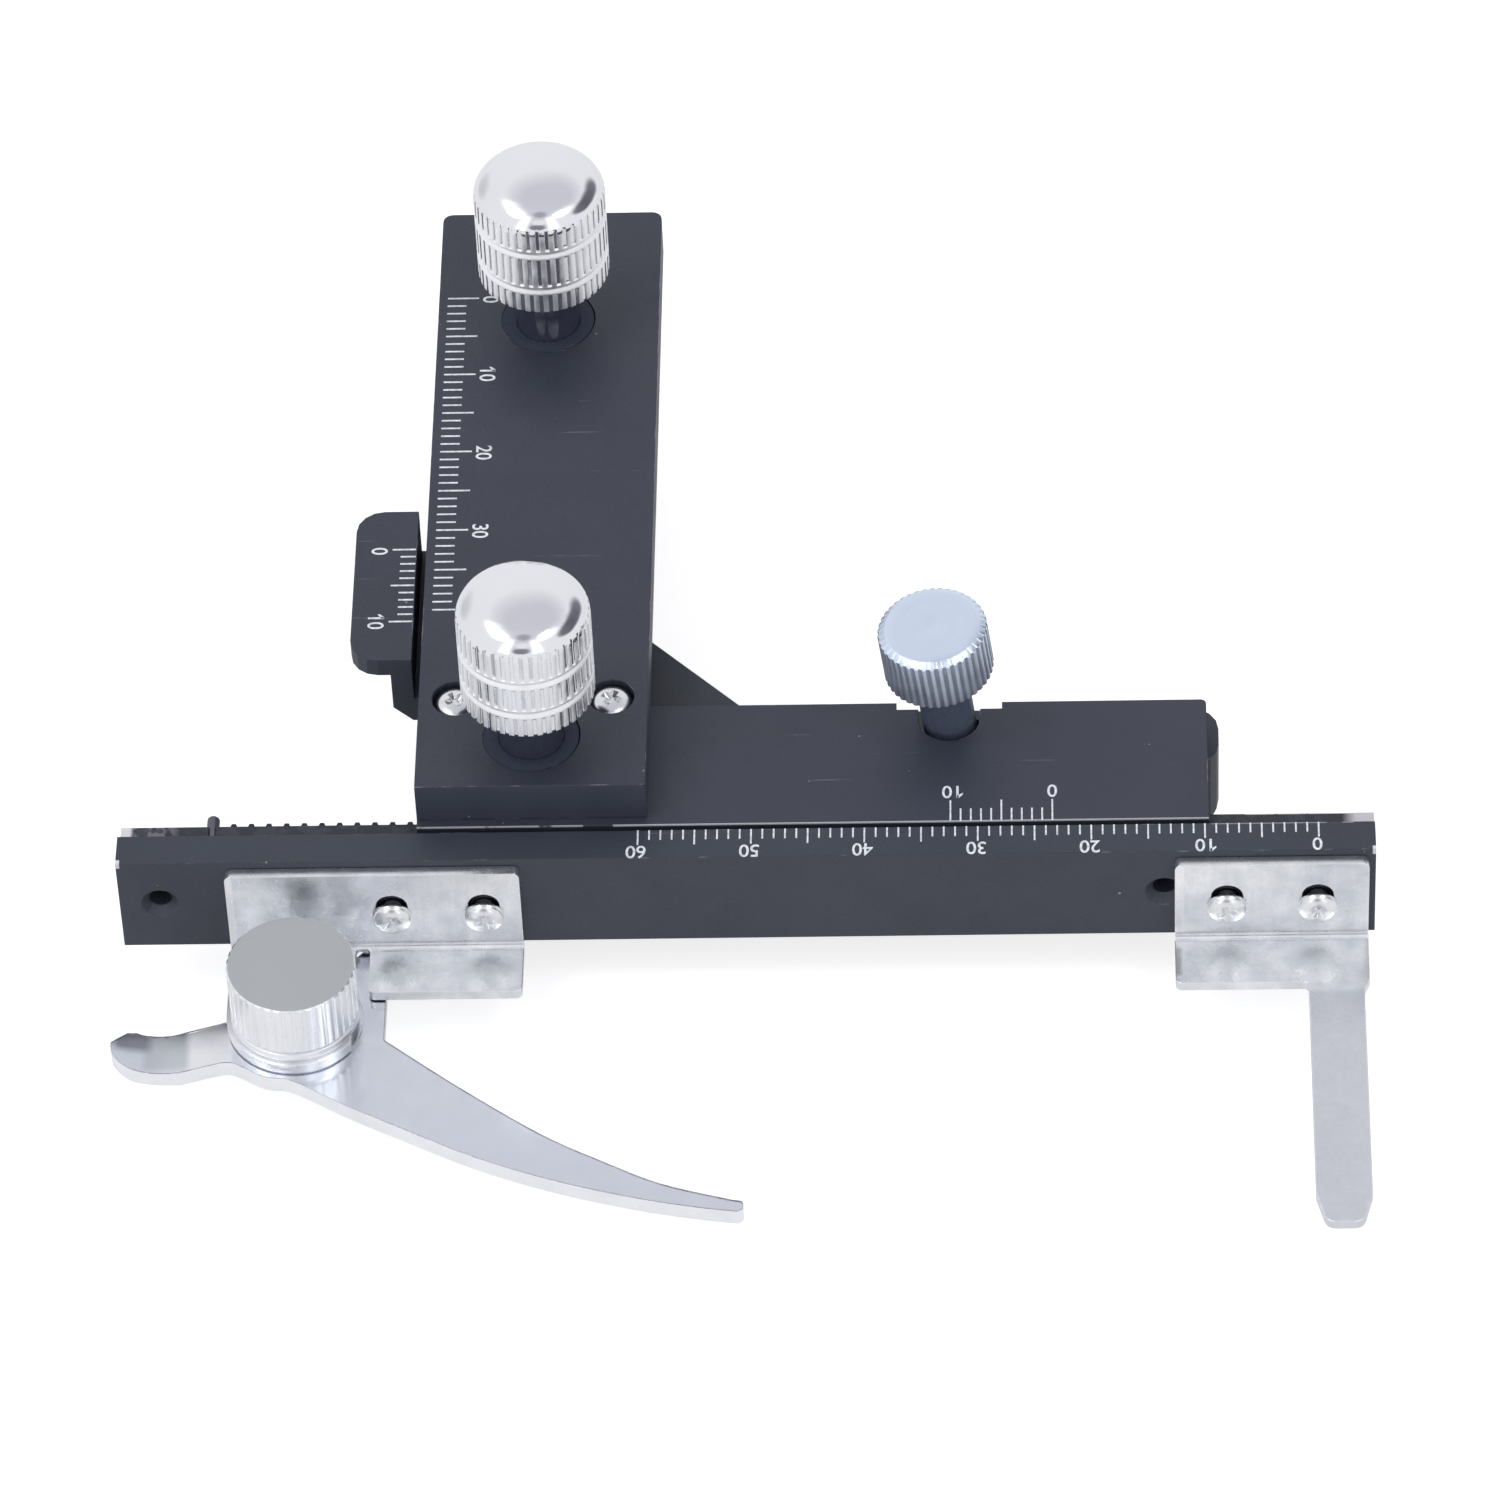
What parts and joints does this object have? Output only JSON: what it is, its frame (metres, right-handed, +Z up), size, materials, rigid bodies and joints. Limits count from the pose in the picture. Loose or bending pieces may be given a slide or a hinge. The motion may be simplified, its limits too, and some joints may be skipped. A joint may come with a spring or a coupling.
{
  "type": "mechanical microscope stage",
  "caption": "Attachable mechanical microscope stage: rack and pinion X and Y slides with domed knobs, verniers, a specimen holder with a sprung swing arm and a clamp thumb screw.",
  "frame": {"origin": "on the flat underside of the base, where the centre lines of its two limbs cross; that face lies on the microscope's stage plate", "axes": "+Z up out of the stage plate, along the two drive knobs; +X along the rail to the right; +Y along the bar, away from the specimen holder"},
  "size_m": [0.1113, 0.1119, 0.0399],
  "materials": {
    "black_enamel": "satin black",
    "blackened_steel": "blackened",
    "chrome": "bright plated",
    "zinc_plate": "zinc plated",
    "nickel_screws": "nickel plated",
    "bare_steel": "bright turned"
  },
  "bodies": {
    "base": {"base_casting": "black_enamel", "y_rack": "bare_steel", "y_rack_screw_front": "bare_steel", "y_rack_screw_rear": "bare_steel", "locating_pin_left": "bare_steel", "locating_pin_right": "bare_steel", "vernier_bracket": "black_enamel", "vernier_screw_front": "bare_steel", "vernier_screw_rear": "bare_steel"},
    "carriage": {"y_bar": "black_enamel", "x_guide": "black_enamel", "guide_screw_left": "nickel_screws", "guide_screw_right": "nickel_screws", "front_bush": "blackened_steel", "rear_bush": "blackened_steel"},
    "y_drive": {"y_knob": "chrome", "y_pinion_shaft": "blackened_steel"},
    "x_drive": {"x_knob": "chrome", "x_pinion_shaft": "blackened_steel"},
    "rail": {"x_rail": "black_enamel", "x_rack": "blackened_steel", "stop_pin_left": "bare_steel", "stop_pin_right": "bare_steel", "left_bracket": "zinc_plate", "right_bracket": "zinc_plate", "left_bracket_screw_a": "nickel_screws", "left_bracket_screw_b": "nickel_screws", "right_bracket_screw_a": "nickel_screws", "right_bracket_screw_b": "nickel_screws", "pivot_post": "bare_steel", "pivot_washer": "chrome", "arm_spring": "bare_steel"},
    "pivot_cap": {"pivot_knob": "chrome"},
    "arm": {"swing_arm": "chrome"},
    "clamp_screw": {"clamp_knob": "zinc_plate", "clamp_stud": "blackened_steel"}
  },
  "joints": [
    {"name": "y_travel", "type": "slide", "parent": "base", "child": "carriage", "axis": [0, 1, 0], "range_m": [-0.031, 0]},
    {"name": "y_knob_turn", "type": "hinge", "parent": "carriage", "child": "y_drive", "pos_m": [0, 0.0468, 0.0244], "axis": [0, 0, 1], "range_deg": [-6, 405]},
    {"name": "x_travel", "type": "slide", "parent": "carriage", "child": "rail", "axis": [1, 0, 0], "range_m": [-0.0236, 0.0236]},
    {"name": "x_knob_turn", "type": "hinge", "parent": "carriage", "child": "x_drive", "pos_m": [0, -0.0059, 0.0237], "axis": [0, 0, 1], "range_deg": [-312, 312]},
    {"name": "pivot_knob_turn", "type": "hinge", "parent": "rail", "child": "pivot_cap", "pos_m": [-0.021, -0.02575, 0.007], "axis": [0, 0, 1], "continuous": true},
    {"name": "arm_swing", "type": "hinge", "parent": "rail", "child": "arm", "pos_m": [-0.021, -0.02575, 0.001], "axis": [0, 0, 1], "range_deg": [-50, 0], "stiffness_Nm_per_rad": 0.02, "springref_deg": 17.19},
    {"name": "clamp_turn", "type": "hinge", "parent": "base", "child": "clamp_screw", "pos_m": [0.0368, 0.0001, 0.0131], "axis": [-0.1044, -0.0401, 0.9937], "continuous": true}
  ],
  "couplings": [
    {"joint": "y_knob_turn", "follows": "y_travel", "rad_per_m": -222.22},
    {"joint": "x_knob_turn", "follows": "x_travel", "rad_per_m": 222.22}
  ]
}
